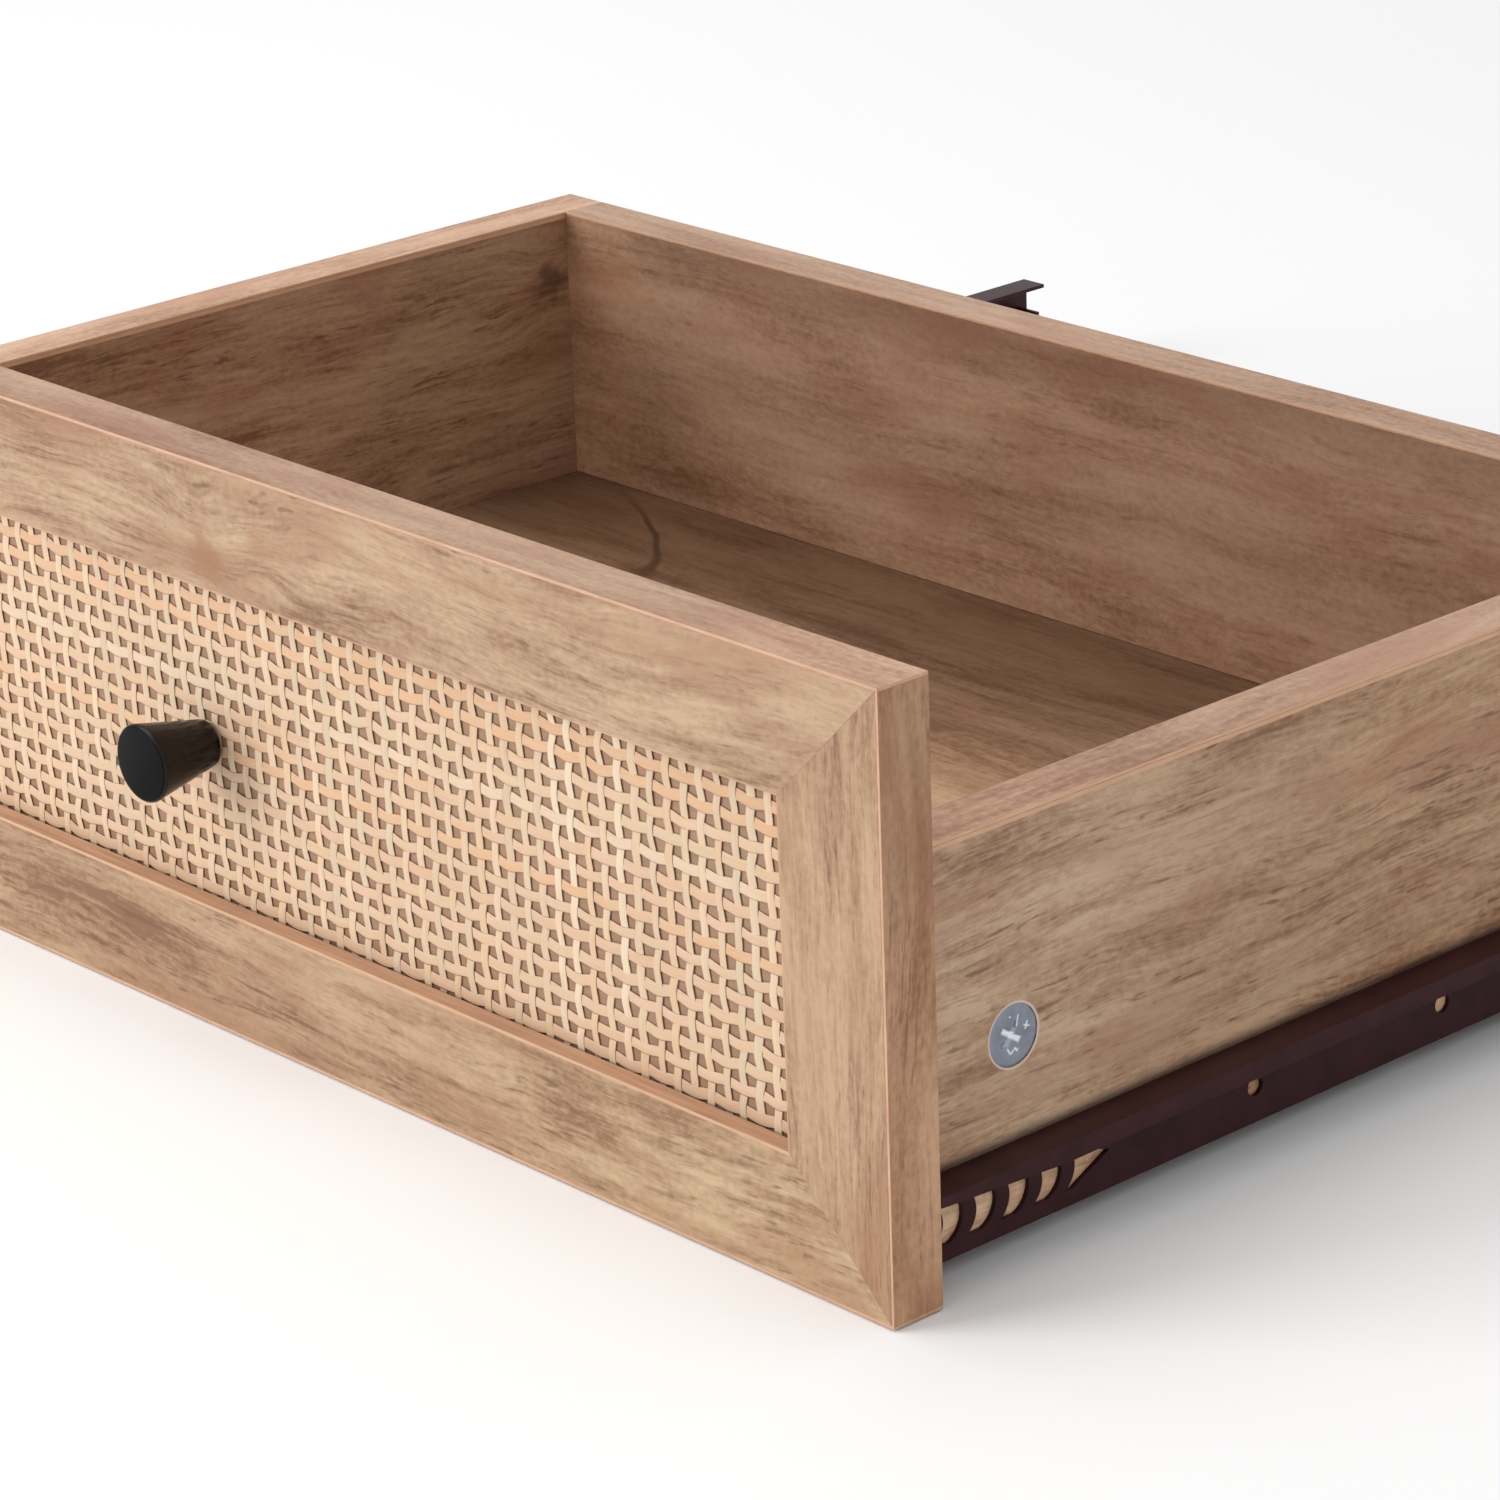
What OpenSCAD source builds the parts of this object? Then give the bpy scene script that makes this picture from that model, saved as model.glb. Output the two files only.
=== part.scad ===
// Under-desk drawer: framed cane front, board box and a pair of roller runners.
// Shown pulled out. X = 0 is mid-width, Y = 0 is the desk's opening plane, Z = 0 is the front's lower edge.
// All sizes are in millimetres. The desk itself is not part of this.

/* [Travel] */
// How far the drawer is pulled out of the desk as drawn
open_travel = 220; // [0:1:230]

/* [Drawer front] */
// Width of the drawer front over its edge bands
front_w = 490; // [300:1:900]
// Height of the drawer front over its edge bands
front_h = 149; // [100:1:300]
// Thickness of the drawer front
front_t = 15; // [12:0.5:22]
// Width of the frame bars seen from the front
bar_w = 32.5; // [20:0.5:60]
// Depth of the cane behind the front face of the frame
cane_recess = 5.1; // [3:0.1:10]
// Width of the rebate that holds the cane and the backing panel
rebate_w = 8; // [4:0.5:15]
// Thickness of the woven cane
cane_t = 1.3; // [0.8:0.1:2.5]
// Thickness of the edge bands
band_t = 0.8; // [0.4:0.1:2]

/* [Knob] */
// Diameter of the knob's front disc
knob_d = 20; // [12:0.5:40]
// Diameter of the knob's foot
knob_foot_d = 12; // [8:0.2:30]
// Length of the knob from the cane to its front disc
knob_len = 20; // [12:0.5:40]
// Height of the knob's axis above the front's bottom edge
knob_up = 73.1; // [60:0.1:90]
// Size of the bevel round the knob's disc
knob_edge = 0.6; // [0.2:0.1:2]
// Shank diameter of the knob's screw
knob_screw_d = 4; // [3:0.5:6]
// Length of the knob's screw under its head
knob_screw_len = 20; // [12:1:40]

/* [Drawer box] */
// Outer width of the drawer box
box_w = 469; // [280:1:880]
// Height of the box sides
box_h = 98; // [60:1:250]
// Length of the box sides behind the front
side_len = 312.5; // [250:0.5:600]
// Thickness of the sides and the back
board_t = 15; // [12:0.5:19]
// Height of the box sides' lower edge above the front's lower edge
box_lift = 6; // [0:0.5:30]
// Thickness of the drawer bottom
bottom_t = 3; // [2.5:0.5:6]
// Height of the bottom's underside above the sides' lower edge
bottom_up = 12; // [8:0.5:25]
// Depth of the grooves that hold the bottom
groove_depth = 6; // [3:0.5:8]

/* [Front fittings] */
// Diameter of the cam locks
cam_d = 15; // [12:0.5:20]
// Depth of the cam locks in the sides
cam_depth = 12; // [10:0.5:14]
// Distance from the front's back face to a cam's centre
cam_back = 33.5; // [24:0.5:44]
// Height of the cam's centre above the sides' lower edge
cam_up = 45.5; // [30:0.5:80]
// Distance from the cam bolt to the dowel on each side of it
dowel_step = 24; // [20:1:48]
// Diameter of the wooden dowels
dowel_d = 8; // [6:1:10]
// Length of the wooden dowels
dowel_len = 30; // [20:1:40]

/* [Back screws] */
// Diameter of the back screws' shank
back_screw_d = 5; // [4:0.5:7]
// Length of the back screws
back_screw_len = 49; // [40:1:70]
// Height of the lower back screw above the sides' lower edge
back_screw_low = 28; // [24:1:40]
// Height of the upper back screw above the sides' lower edge
back_screw_high = 76; // [50:1:90]

/* [Runners] */
// Length of each runner member
runner_len = 300; // [250:50:600]
// Sheet steel thickness of the runners
steel_t = 1.2; // [1:0.1:1.5]
// Gap between a box side and the desk that one runner fills
side_gap = 12.5; // [12:0.1:14]
// Distance from the front's back face to the drawer member's front end
runner_start = 1; // [0:0.5:10]
// Height of the drawer member's track above the sides' lower edge
track_h = 20; // [18:0.5:30]
// Reach of the drawer member's track from the box side
track_reach = 9.6; // [8:0.1:10.5]
// Depth of the lip that hangs down from the track
lip_h = 4.8; // [3:0.1:8]
// How much of that lip is cut away at the member's front end
lip_cut = 2.3; // [0:0.1:3]
// Length over which the lip reaches its full height
lip_taper = 38; // [10:1:80]
// Width of the drawer member's flange under the box side
under_flange = 11; // [8:0.5:14]
// Distance from the opening plane to the desk member's front end
desk_member_start = 17; // [0:0.5:40]
// Height of the desk member over its two flanges
desk_member_h = 23.4; // [22:0.1:35]

/* [Rollers] */
// Radius of the front rollers on the desk members
front_roller_r = 8.5; // [7:0.1:10]
// Radius of the rear rollers on the drawer members
rear_roller_r = 10; // [8:0.1:12]
// Width of every roller
roller_w = 5.3; // [4:0.1:7]
// Distance from the desk member's front end to its roller's centre
front_roller_in = 12; // [10:0.5:30]
// Distance from the drawer member's rear end to its roller's centre
rear_roller_in = 14; // [12:0.5:40]
// Diameter of the roller axles
axle_d = 4.9; // [3:0.1:6]

/* [Runner holes] */
// Diameter of the round screw holes
hole_d = 5; // [3.5:0.1:6.5]
// First screw hole of the desk member, from its front end
desk_hole_a = 37; // [30:1:60]
// Second screw hole of the desk member, from its front end
desk_hole_b = 261; // [200:1:280]
// First adjusting slot of the desk member, from its front end
desk_slot_a = 69; // [60:1:100]
// Second adjusting slot of the desk member, from its front end
desk_slot_b = 229; // [180:1:250]
// Length of the adjusting slots from end to end
slot_len = 9; // [6:0.5:15]
// First spare hole of the drawer member, from the front's front face
spare_hole_a = 126; // [100:1:160]
// Second spare hole of the drawer member, from the front's front face
spare_hole_b = 192; // [170:1:240]
// Height of the spare holes above the sides' lower edge
spare_hole_up = 8; // [6:0.5:12]
// Diameter of the runner screws under the box
under_screw_d = 3.5; // [3:0.1:4.5]
// Length of the runner screws under the box
under_screw_len = 11; // [9:0.5:12]

/* [Hidden] */
$fn = 64;
eps = 0.5;
fit = 0.05;
half_w = front_w / 2;
half_box = box_w / 2;
half_in = half_box - board_t;
back_y = front_t + side_len - board_t;
box_end = front_t + side_len;
box_top = box_lift + box_h;
floor_z = box_lift + bottom_up;
groove_slack = 0.1;
panel_slack = 0.3;
cane_slack = 0.1;
joint_x = half_box - board_t / 2;
cam_z = box_lift + cam_up;
cam_y = front_t + cam_back;
bolt_shank_r = 3;
bolt_neck_r = 2;
bolt_head_r = 3.4;
bolt_thread_d = 5;
bolt_thread_len = 11;
bolt_head_len = 3;
bolt_neck_len = 6;
bolt_end_gap = 1.2;
bolt_hole_r = 4;
cam_slot_w = 7.6;
cam_mark_depth = 1.2;
cam_mark_w = 1.4;
cam_mark_len = 9;
cam_ring_w = 0.7;
cam_ring_depth = 0.3;
arrow_r = 5.6;
arrow_w = 2.2;
dowel_in_front = 10;
washer_r = 6;
washer_t = 0.8;
screw_head_r = 4;
screw_head_h = 2.2;
mark_w = 0.9;
mark_len = 4.6;
mark_depth = 1.1;
knob_bore_spare = 1;
back_head_r = 5;
back_head_h = 1.2;
back_neck_r = 3.4;
back_neck_len = 12;
back_cone_h = 1.8;
member_y0 = front_t + runner_start;
member_y1 = member_y0 + runner_len;
rear_y = member_y1 - rear_roller_in;
track_gap = 4;
track_end = rear_y - rear_roller_r - track_gap;
front_y = desk_member_start + front_roller_in;
desk_y1 = desk_member_start + runner_len;
web_in = side_gap - steel_t;
roller_play = 0.3;
front_roller_v = track_h - steel_t - roller_play - front_roller_r;
desk_floor_v = steel_t / 2;
rear_roller_v = desk_floor_v + roller_play + rear_roller_r;
desk_low = desk_floor_v - steel_t;
desk_high = desk_low + desk_member_h;
desk_flange_in = 2.2;
desk_top_in = 3;
nose_h = 17;
nose_len = 40;
nose_ramp = 6;
stop_y = 60;
stop_len = 4;
stop_h = 3.4;
stop_in = 3;
stop_out = 9;
end_tab_low = 2;
end_tab_high = 14;
end_tab_gap = 0.5;
rear_roller_u = 2;
front_roller_u = 2.8;
axle_r = axle_d / 2;
axle_head_r = 4.2;
axle_head_t = 1;
axle_gap = 0.3;
collar_r = 3.5;
roller_hub_r = 4.6;
roller_rim = 1.6;
roller_dish = 0.8;
desk_hole_v = 11;
fin_pitch = 10.4;
fin_count = 4;
fin_low = 2.7;
fin_high = 12.4;
fin_r = 6.5;
fin_right_y = 24.04;
fin_right_v = 8.9;
fin_left_y = 17.91;
fin_left_v = 8.45;
fin_cut_w = 14;
tail_top = 65.2;
tail_tip = 77.2;
tail_tip_v = 8.5;
tail_low = 65.2;
under_screws = 3;
under_first = 50;
under_step = 115;
under_head_r = 3.4;
under_head_h = 1.8;
under_in = 6;
wood = [0.76, 0.62, 0.48];
wood_dark = [0.62, 0.48, 0.36];
cane_color = [0.9, 0.8, 0.62];
edge_color = [0.84, 0.68, 0.56];
black = [0.08, 0.08, 0.08];
zinc = [0.72, 0.72, 0.72];
dowel_color = [0.82, 0.7, 0.5];
runner_color = [0.24, 0.18, 0.18];
nylon = [0.9, 0.9, 0.86];

// ---- helpers ----

// A box between two corners.
module block(a, b) {
    translate(a)
        cube(b - a);
}

// A cylinder that starts at p and runs along X, Y or Z.
module rod_x(p, r, len) {
    translate(p)
        rotate([0, 90, 0])
            cylinder(r = r, h = len);
}

module rod_y(p, r, len) {
    translate(p)
        rotate([-90, 0, 0])
            cylinder(r = r, h = len);
}

module rod_z(p, r, len) {
    translate(p)
        cylinder(r = r, h = len);
}

// A flat outline given in X and Z, made solid from y0 to y1.
module plate_xz(points, y0, y1) {
    translate([0, y1, 0])
        rotate([90, 0, 0])
            linear_extrude(height = y1 - y0)
                polygon(points);
}

// Everything that travels with the drawer.
module pulled_out() {
    translate([0, -open_travel, 0])
        children();
}

// The right-hand piece, or its mirror image on the left.
module on_side(left) {
    mirror([left ? 1 : 0, 0, 0])
        children();
}

// Places u outwards from the box side and v up from its lower edge.
module at_box_side() {
    translate([half_box, 0, box_lift])
        children();
}

// ---- drawer front ----

module bottom_groove() {
    block([-half_in - groove_depth, front_t - groove_depth, floor_z - groove_slack],
        [half_in + groove_depth, front_t + eps, floor_z + bottom_t + groove_slack]);
}

module rebate_cut() {
    block([-half_w + bar_w - rebate_w, cane_recess, bar_w - rebate_w],
        [half_w - bar_w + rebate_w, front_t + eps, front_h - bar_w + rebate_w]);
}

module stile_holes() {
    for (s = [-1, 1]) {
        rod_y([s * joint_x, front_t - bolt_thread_len, cam_z], bolt_thread_d / 2, bolt_thread_len + eps);
        for (k = [-1, 1])
            rod_y([s * joint_x, front_t - dowel_in_front, cam_z + k * dowel_step],
                dowel_d / 2, dowel_in_front + eps);
    }
}

module rail(top) {
    outer = half_w - band_t;
    inner = half_w - bar_w;
    z_out = top ? front_h - band_t : band_t;
    z_in = top ? front_h - bar_w : bar_w;
    difference() {
        plate_xz([[-outer, z_out], [outer, z_out], [inner, z_in], [-inner, z_in]], 0, front_t);
        rebate_cut();
        bottom_groove();
    }
}

module stile(left) {
    outer = half_w - band_t;
    inner = half_w - bar_w;
    on_side(left)
        difference() {
            plate_xz([[outer, band_t], [outer, front_h - band_t], [inner, front_h - bar_w], [inner, bar_w]],
                0, front_t);
            rebate_cut();
            bottom_groove();
            stile_holes();
        }
}

module front_top_rail() {
    color(wood)
        pulled_out()
            rail(true);
}

module front_bottom_rail() {
    color(wood)
        pulled_out()
            rail(false);
}

module front_left_stile() {
    color(wood)
        pulled_out()
            stile(true);
}

module front_right_stile() {
    color(wood)
        pulled_out()
            stile(false);
}

module front_backing_panel() {
    reach = half_w - bar_w + rebate_w - panel_slack;
    low = bar_w - rebate_w + panel_slack;
    color(wood_dark)
        pulled_out()
            difference() {
                block([-reach, cane_recess + cane_t + cane_slack, low], [reach, front_t, front_h - low]);
                rod_y([0, 0, knob_up], knob_screw_d / 2 + cane_slack, front_t + eps);
            }
}

module cane_webbing() {
    reach = half_w - bar_w + rebate_w - 2 * panel_slack;
    low = bar_w - rebate_w + 2 * panel_slack;
    color(cane_color)
        pulled_out()
            difference() {
                block([-reach, cane_recess, low], [reach, cane_recess + cane_t, front_h - low]);
                rod_y([0, 0, knob_up], knob_screw_d / 2 + cane_slack, front_t + eps);
            }
}

module front_top_band() {
    color(edge_color)
        pulled_out()
            block([-half_w, 0, front_h - band_t], [half_w, front_t, front_h]);
}

module front_bottom_band() {
    color(edge_color)
        pulled_out()
            block([-half_w, 0, 0], [half_w, front_t, band_t]);
}

module front_end_band(left) {
    color(edge_color)
        pulled_out()
            on_side(left)
                block([half_w - band_t, 0, band_t], [half_w, front_t, front_h - band_t]);
}

module front_left_band() {
    front_end_band(true);
}

module front_right_band() {
    front_end_band(false);
}

// ---- drawer box ----

module side_panel(left) {
    on_side(left)
        difference() {
            block([half_in, front_t, box_lift], [half_box, box_end, box_top - band_t]);
            block([half_in - eps, front_t - eps, floor_z - groove_slack],
                [half_in + groove_depth, back_y + groove_depth, floor_z + bottom_t + groove_slack]);
            rod_x([half_box - cam_depth - fit, cam_y, cam_z], cam_d / 2, cam_depth + eps);
            rod_y([joint_x, front_t - eps, cam_z], bolt_hole_r, cam_back);
            for (k = [-1, 1])
                rod_y([joint_x, front_t - eps, cam_z + k * dowel_step],
                    dowel_d / 2, dowel_len - dowel_in_front + eps);
            back_screw_pair()
                back_screw_hole();
            for (i = [0 : under_screws - 1])
                rod_z([half_box - under_in, member_y0 + under_first + i * under_step, box_lift - eps],
                    under_screw_d / 2, under_screw_len + eps);
        }
}

module left_side_panel() {
    color(wood)
        pulled_out()
            side_panel(true);
}

module right_side_panel() {
    color(wood)
        pulled_out()
            side_panel(false);
}

module back_panel() {
    color(wood)
        pulled_out()
            difference() {
                block([-half_in, back_y, box_lift], [half_in, box_end, box_top - band_t]);
                block([-half_in - eps, back_y - eps, floor_z - groove_slack],
                    [half_in + eps, back_y + groove_depth, floor_z + bottom_t + groove_slack]);
                for (left = [true, false])
                    on_side(left)
                        back_screw_pair()
                            back_screw_hole();
            }
}

module bottom_panel() {
    deep = groove_depth - panel_slack;
    color(wood_dark)
        pulled_out()
            block([-half_in - deep, front_t - deep, floor_z],
                [half_in + deep, back_y + deep, floor_z + bottom_t]);
}

module side_band(left) {
    color(edge_color)
        pulled_out()
            on_side(left)
                block([half_in, front_t, box_top - band_t], [half_box, box_end, box_top]);
}

module left_side_band() {
    side_band(true);
}

module right_side_band() {
    side_band(false);
}

module back_band() {
    color(edge_color)
        pulled_out()
            block([-half_in, back_y, box_top - band_t], [half_in, box_end, box_top]);
}

// ---- knob ----

module knob() {
    foot = knob_foot_d / 2;
    disc = knob_d / 2;
    bore = knob_screw_d / 2;
    deep = knob_screw_len - (front_t + washer_t - cane_recess) + knob_bore_spare;
    color(black)
        pulled_out()
            translate([0, cane_recess, knob_up])
                rotate([90, 0, 0])
                    rotate_extrude()
                        polygon([[bore, 0], [foot, 0], [disc, knob_len - knob_edge],
                            [disc - knob_edge, knob_len], [0, knob_len], [0, deep], [bore, deep]]);
}

module knob_washer() {
    color(zinc)
        pulled_out()
            difference() {
                rod_y([0, front_t, knob_up], washer_r, washer_t);
                rod_y([0, 0, knob_up], knob_screw_d / 2 + cane_slack, front_t + washer_t + eps);
            }
}

// Two crossed slots in a screw's head; the head faces +Z and its top is at height h.
module cross_marks(h) {
    for (a = [0, 90])
        rotate([0, 0, a])
            block([-mark_len / 2, -mark_w / 2, h - mark_depth], [mark_len / 2, mark_w / 2, h + eps]);
}

module knob_screw() {
    head_y = front_t + washer_t;
    color(zinc)
        pulled_out()
            translate([0, head_y, knob_up])
                rotate([-90, 0, 0])
                    difference() {
                        union() {
                            cylinder(r = screw_head_r, h = screw_head_h);
                            translate([0, 0, -knob_screw_len])
                                cylinder(r = knob_screw_d / 2 - fit, h = knob_screw_len + eps);
                        }
                        cross_marks(screw_head_h);
                    }
}

// ---- front fittings ----

module cam_locks() {
    color(zinc)
        pulled_out()
            for (left = [true, false])
                on_side(left)
                    difference() {
                        rod_x([half_box - cam_depth, cam_y, cam_z], cam_d / 2 - fit, cam_depth);
                        block([joint_x - cam_slot_w / 2, cam_y - cam_d, cam_z - cam_slot_w / 2],
                            [joint_x + cam_slot_w / 2, cam_y + bolt_end_gap, cam_z + cam_slot_w / 2]);
                        cam_face();
                    }
}

// The marks on a cam's outer face: a cross, an arrow and a fine ring.
module cam_face() {
    translate([half_box, cam_y, cam_z])
        rotate([0, 90, 0]) {
            for (a = [0, 90])
                rotate([0, 0, a])
                    block([-cam_mark_len / 2, -cam_mark_w / 2, -cam_mark_depth],
                        [cam_mark_len / 2, cam_mark_w / 2, eps]);
            translate([0, 0, -cam_ring_depth])
                linear_extrude(height = cam_ring_depth + eps)
                    difference() {
                        circle(r = cam_d / 2 - cam_ring_w);
                        circle(r = cam_d / 2 - 2 * cam_ring_w);
                    }
            translate([0, 0, -cam_ring_depth])
                linear_extrude(height = cam_ring_depth + eps)
                    polygon([[-arrow_w, -cam_mark_len / 2], [arrow_w, -cam_mark_len / 2], [0, -arrow_r]]);
        }
}

module cam_bolts() {
    shank = cam_back - bolt_neck_len - bolt_end_gap;
    color(zinc)
        pulled_out()
            for (s = [-1, 1])
                translate([s * joint_x, front_t, cam_z])
                    rotate([-90, 0, 0]) {
                        translate([0, 0, -bolt_thread_len + fit])
                            cylinder(r = bolt_thread_d / 2 - fit, h = bolt_thread_len);
                        cylinder(r = bolt_shank_r, h = shank);
                        translate([0, 0, shank - eps])
                            cylinder(r = bolt_neck_r, h = bolt_neck_len + eps);
                        translate([0, 0, cam_back - bolt_end_gap - bolt_head_len])
                            cylinder(r = bolt_head_r, h = bolt_head_len);
                    }
}

module front_dowels() {
    color(dowel_color)
        pulled_out()
            for (s = [-1, 1])
                for (k = [-1, 1])
                    rod_y([s * joint_x, front_t - dowel_in_front + fit, cam_z + k * dowel_step],
                        dowel_d / 2 - fit, dowel_len - 2 * fit);
}

// ---- back screws ----

// Puts a child, drawn along -X from the side's outer face, at each back screw of the right side.
module back_screw_pair() {
    for (up = [back_screw_low, back_screw_high])
        translate([half_box, box_end - board_t / 2, box_lift + up])
            children();
}

// The stepped outline of a back screw, grown by g, turned about its own axis into a solid along -X.
module back_screw_solid(g) {
    top = g > 0 ? -eps : 0;
    rotate([0, -90, 0])
        rotate_extrude()
            polygon([[0, top], [back_head_r + g, top], [back_head_r + g, back_head_h],
                [back_neck_r + g, back_head_h + back_cone_h], [back_neck_r + g, back_neck_len],
                [back_screw_d / 2 + g, back_neck_len], [back_screw_d / 2 + g, back_screw_len + g],
                [0, back_screw_len + g]]);
}

module back_screw_hole() {
    back_screw_solid(fit);
}

module back_screws() {
    color(zinc)
        pulled_out()
            for (left = [true, false])
                on_side(left)
                    back_screw_pair()
                        difference() {
                            back_screw_solid(0);
                            rotate([0, 90, 0])
                                cross_marks(0);
                        }
}

// ---- drawer members of the runners ----

// One curved slot of the drawer member, between two arcs, flat at its foot and its top.
module fin_outline(i) {
    translate([i * fin_pitch, 0])
        intersection() {
            difference() {
                translate([fin_right_y, fin_right_v])
                    circle(r = fin_r);
                translate([fin_left_y, fin_left_v])
                    circle(r = fin_r);
            }
            translate([fin_left_y, fin_low])
                square([fin_cut_w, fin_high - fin_low]);
        }
}

// The last slot ends in a point towards the back.
module tail_outline() {
    difference() {
        polygon([[tail_top - fin_r, fin_high], [tail_top, fin_high], [tail_tip, tail_tip_v],
            [tail_low, fin_low], [tail_top - fin_r, fin_low]]);
        translate([fin_left_y + fin_count * fin_pitch, fin_left_v])
            circle(r = fin_r);
        translate([fin_left_y + fin_count * fin_pitch - fin_cut_w, 0])
            square([fin_cut_w, track_h]);
    }
}

module web_slots() {
    rotate([90, 0, 90])
        translate([0, 0, -eps])
            linear_extrude(height = steel_t + 2 * eps) {
                for (i = [0 : fin_count - 1])
                    fin_outline(i);
                tail_outline();
            }
}

// Lip that turns down from the track, lower towards the member's front end.
module member_lip() {
    low = track_h - lip_h;
    rotate([90, 0, 90])
        translate([0, 0, track_reach - steel_t])
            linear_extrude(height = steel_t)
                polygon([[member_y0, track_h], [member_y0, low + lip_cut], [member_y0 + lip_taper, low],
                    [track_end, low], [track_end, track_h]]);
}

module drawer_member(left) {
    color(runner_color)
        pulled_out()
            on_side(left)
                at_box_side()
                    difference() {
                        union() {
                            block([0, member_y0, -steel_t], [steel_t, member_y1, track_h]);
                            block([-under_flange, member_y0, -steel_t], [steel_t, member_y1, 0]);
                            block([0, member_y0, track_h - steel_t], [track_reach, track_end, track_h]);
                            member_lip();
                        }
                        web_slots();
                        for (y = [spare_hole_a, spare_hole_b])
                            rod_x([-eps, y, spare_hole_up], hole_d / 2, steel_t + 2 * eps);
                        rod_x([-eps, rear_y, rear_roller_v], axle_r + fit, steel_t + 2 * eps);
                        for (i = [0 : under_screws - 1])
                            rod_z([-under_in, member_y0 + under_first + i * under_step, -steel_t - eps],
                                under_screw_d / 2 + fit, steel_t + 2 * eps);
                    }
}

module drawer_runner_left() {
    drawer_member(true);
}

module drawer_runner_right() {
    drawer_member(false);
}

module under_screw_row(left) {
    shank_r = under_screw_d / 2 - fit;
    color(zinc)
        pulled_out()
            on_side(left)
                at_box_side()
                    for (i = [0 : under_screws - 1])
                        translate([-under_in, member_y0 + under_first + i * under_step, -steel_t])
                            mirror([0, 0, 1])
                                difference() {
                                    union() {
                                        cylinder(r = under_head_r, h = under_head_h);
                                        translate([0, 0, -under_screw_len])
                                            cylinder(r = shank_r, h = under_screw_len + eps);
                                    }
                                    cross_marks(under_head_h);
                                }
}

module runner_screws_left() {
    under_screw_row(true);
}

module runner_screws_right() {
    under_screw_row(false);
}

// ---- rollers and axles ----

// A roller about its own axis, with a dished face on both sides of its hub.
module roller(r) {
    low = roller_dish;
    high = roller_w - roller_dish;
    bore = axle_r + fit;
    rim = r - roller_rim;
    rotate([0, 90, 0])
        rotate_extrude()
            polygon([[bore, 0], [roller_hub_r, 0], [roller_hub_r, low], [rim, low], [rim, 0],
                [r, 0], [r, roller_w], [rim, roller_w], [rim, high],
                [roller_hub_r, high], [roller_hub_r, roller_w], [bore, roller_w]]);
}

module rear_roller(left) {
    color(nylon)
        pulled_out()
            on_side(left)
                at_box_side()
                    translate([rear_roller_u, rear_y, rear_roller_v])
                        roller(rear_roller_r);
}

module rear_roller_left() {
    rear_roller(true);
}

module rear_roller_right() {
    rear_roller(false);
}

module rear_axle(left) {
    head_u = rear_roller_u + roller_w + axle_gap;
    color(zinc)
        pulled_out()
            on_side(left)
                at_box_side() {
                    rod_x([0, rear_y, rear_roller_v], axle_r, head_u + axle_head_t);
                    rod_x([steel_t, rear_y, rear_roller_v], collar_r, rear_roller_u - steel_t - axle_gap);
                    rod_x([head_u, rear_y, rear_roller_v], axle_head_r, axle_head_t);
                }
}

module rear_axle_left() {
    rear_axle(true);
}

module rear_axle_right() {
    rear_axle(false);
}

module front_roller(left) {
    color(nylon)
        on_side(left)
            at_box_side()
                translate([front_roller_u, front_y, front_roller_v])
                    roller(front_roller_r);
}

module front_roller_left() {
    front_roller(true);
}

module front_roller_right() {
    front_roller(false);
}

module front_axle(left) {
    head_u = front_roller_u - axle_gap - axle_head_t + axle_gap / 2;
    collar_u = front_roller_u + roller_w + axle_gap;
    color(zinc)
        on_side(left)
            at_box_side() {
                rod_x([head_u, front_y, front_roller_v], axle_r, side_gap - head_u);
                rod_x([head_u, front_y, front_roller_v], axle_head_r, axle_head_t - axle_gap / 2);
                rod_x([collar_u, front_y, front_roller_v], collar_r, web_in - collar_u);
            }
}

module front_axle_left() {
    front_axle(true);
}

module front_axle_right() {
    front_axle(false);
}

// ---- desk members of the runners ----

module slot_cut(y) {
    for (e = [-1, 1])
        rod_x([web_in - eps, y + e * (slot_len - hole_d) / 2, desk_hole_v], hole_d / 2, steel_t + 2 * eps);
    block([web_in - eps, y - (slot_len - hole_d) / 2, desk_hole_v - hole_d / 2],
        [side_gap + eps, y + (slot_len - hole_d) / 2, desk_hole_v + hole_d / 2]);
}

module desk_member(left) {
    y0 = desk_member_start;
    tab_y = rear_y + rear_roller_r + end_tab_gap;
    color(runner_color)
        on_side(left)
            at_box_side()
                difference() {
                    union() {
                        block([web_in, y0, desk_low], [side_gap, desk_y1, desk_high]);
                        block([desk_flange_in, y0, desk_low], [side_gap, desk_y1, desk_floor_v]);
                        block([desk_top_in, y0, desk_high - steel_t], [side_gap, desk_y1, desk_high]);
                        block([stop_in, stop_y, desk_low],
                            [stop_out, stop_y + stop_len, desk_floor_v + stop_h]);
                        block([desk_flange_in, tab_y, end_tab_low],
                            [side_gap, tab_y + steel_t, end_tab_high]);
                    }
                    nose_cut();
                    for (y = [desk_hole_a, desk_hole_b])
                        rod_x([web_in - eps, y0 + y, desk_hole_v], hole_d / 2, steel_t + 2 * eps);
                    for (y = [desk_slot_a, desk_slot_b])
                        slot_cut(y0 + y);
                    rod_x([web_in - eps, front_y, front_roller_v], axle_r + fit, steel_t + 2 * eps);
                }
}

// The front of the desk member is cut low, so that the drawer can be lifted out.
module nose_cut() {
    y0 = desk_member_start;
    rotate([90, 0, 90])
        linear_extrude(height = side_gap + eps)
            polygon([[y0 - eps, nose_h], [y0 + nose_len, nose_h],
                [y0 + nose_len + nose_ramp, desk_high + eps], [y0 - eps, desk_high + eps]]);
}

module desk_runner_left() {
    desk_member(true);
}

module desk_runner_right() {
    desk_member(false);
}

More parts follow.
